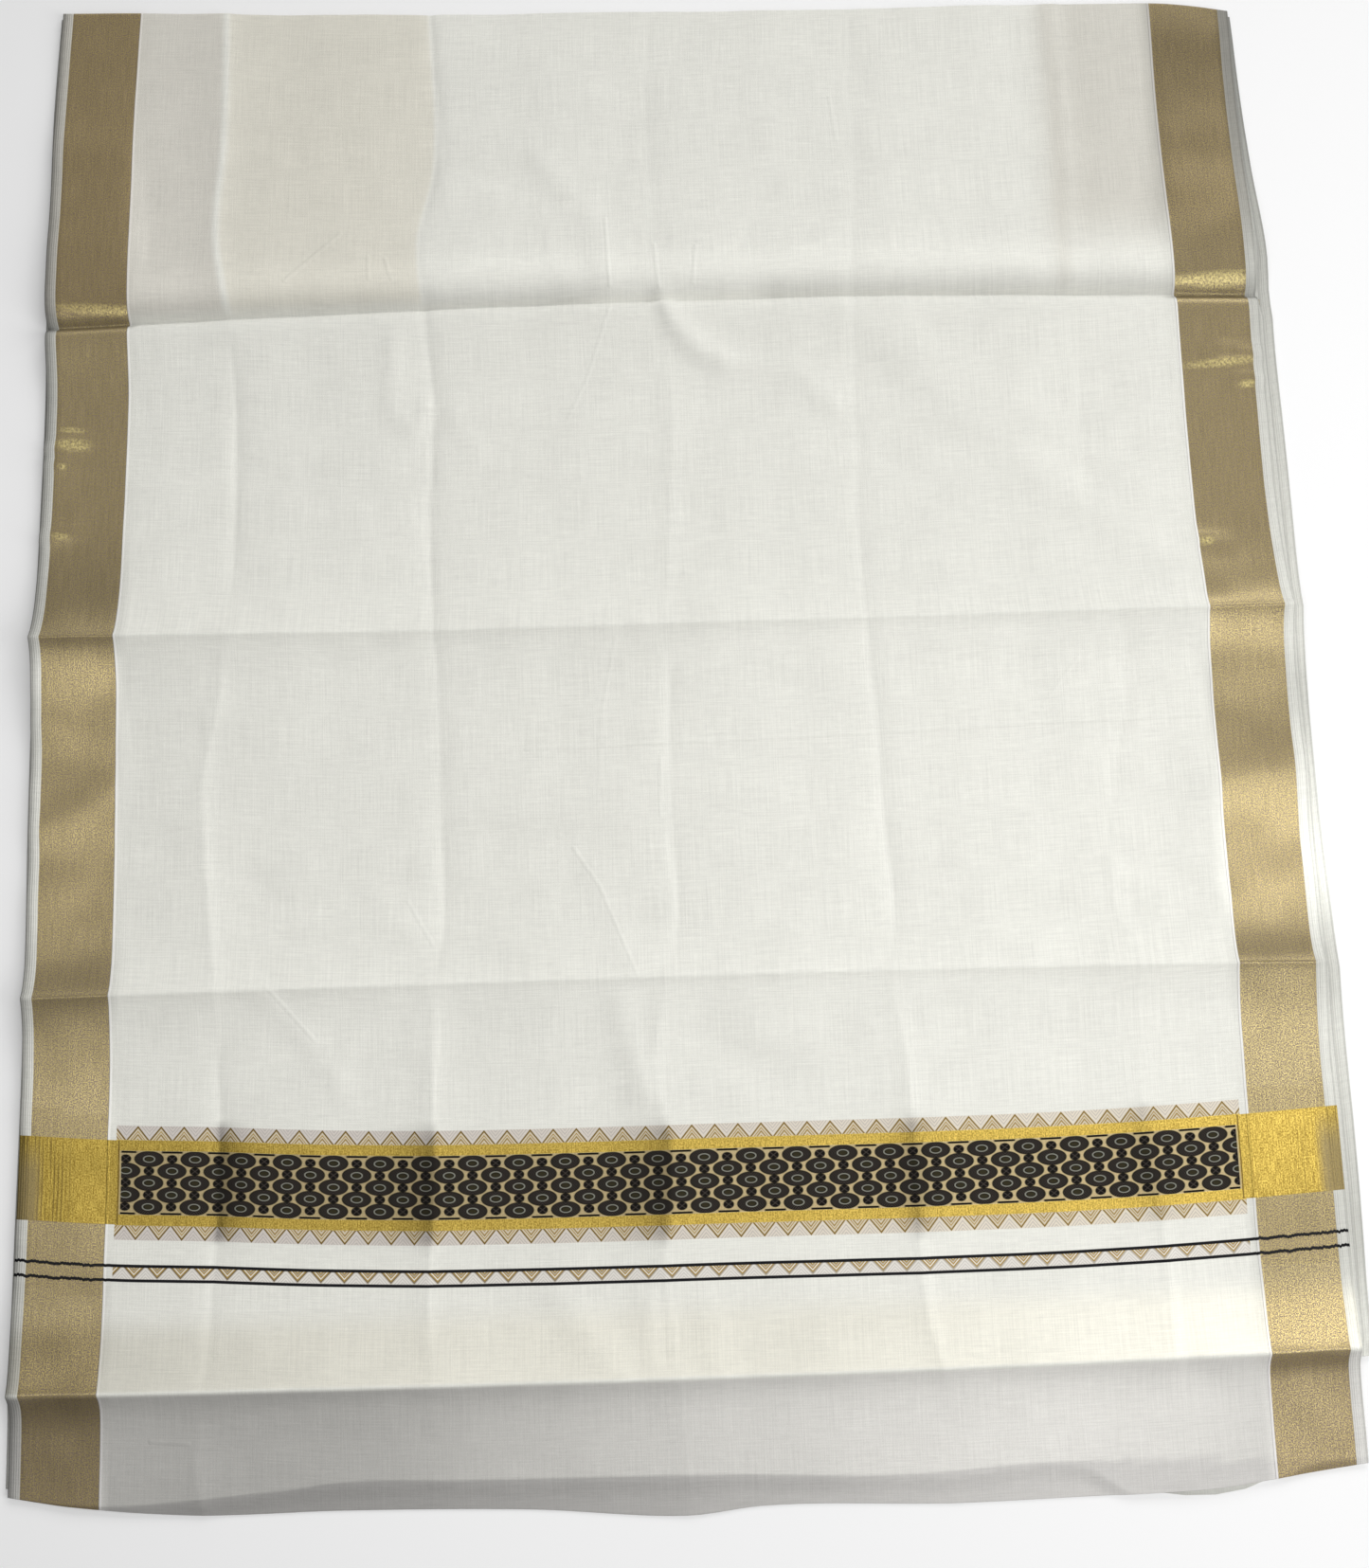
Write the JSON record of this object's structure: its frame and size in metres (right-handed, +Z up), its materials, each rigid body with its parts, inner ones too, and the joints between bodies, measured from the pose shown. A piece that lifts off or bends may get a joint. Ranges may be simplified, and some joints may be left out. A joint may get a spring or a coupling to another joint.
{
  "type": "folded cotton saree",
  "caption": "Off-white cotton saree with gold thread borders and a woven end band, folded into lengths and laid flat.",
  "frame": {"origin": "on the table under the middle of the stack's bounding box", "axes": "+X across the cloth towards the side where the lower lengths stand out, +Y along the cloth from the loose hemmed end to the fold, +Z up"},
  "size_m": [1.2126, 1.4665, 0.0261],
  "materials": {
    "cotton_cloth": "plain woven off-white cotton with gold thread borders, matt, with a soft metallic shine on the gold thread"
  },
  "bodies": {
    "root": {"top_length": "cotton_cloth", "folded_lengths": "cotton_cloth"}
  },
  "joints": []
}
